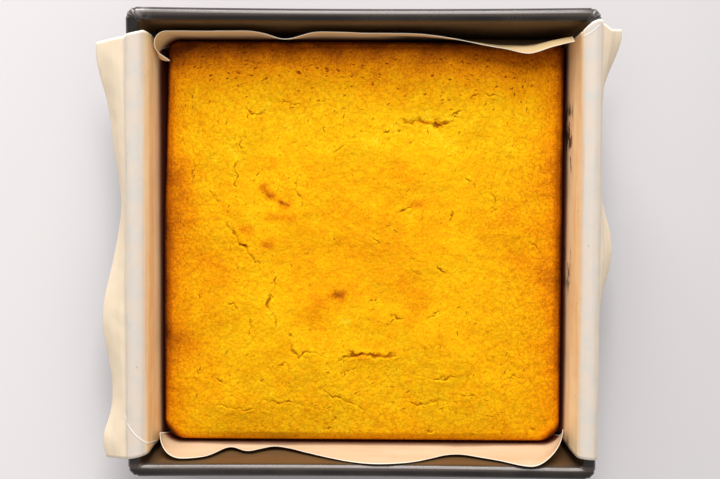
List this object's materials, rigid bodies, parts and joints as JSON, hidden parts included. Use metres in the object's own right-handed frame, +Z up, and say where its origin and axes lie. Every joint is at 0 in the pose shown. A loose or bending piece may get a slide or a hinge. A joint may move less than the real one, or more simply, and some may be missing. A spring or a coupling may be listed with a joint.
{
  "type": "cornbread in a square baking pan",
  "caption": "Square uncut cornbread with a cracked golden crust, in a dark rolled-rim baking pan lined with crossing strips of baking paper that fold over the sides.",
  "frame": {"origin": "centre of the pan's flat underside, where it rests", "axes": "+Z up, +X to the right across the pan, past the rims that the paper folds over, +Y to the far side of the pan"},
  "size_m": [0.246, 0.2186, 0.0521],
  "materials": {
    "pan_nonstick": "dark satin non-stick coating on pressed sheet steel",
    "baking_paper": "unbleached baking paper, thin, translucent and lightly creased",
    "cornbread_crust": "matt baked crumb crust, golden yellow, browner at the edges and in spots"
  },
  "bodies": {
    "root": {"pan": "pan_nonstick", "paper_across": "baking_paper", "paper_along": "baking_paper", "cornbread": "cornbread_crust"}
  },
  "joints": []
}
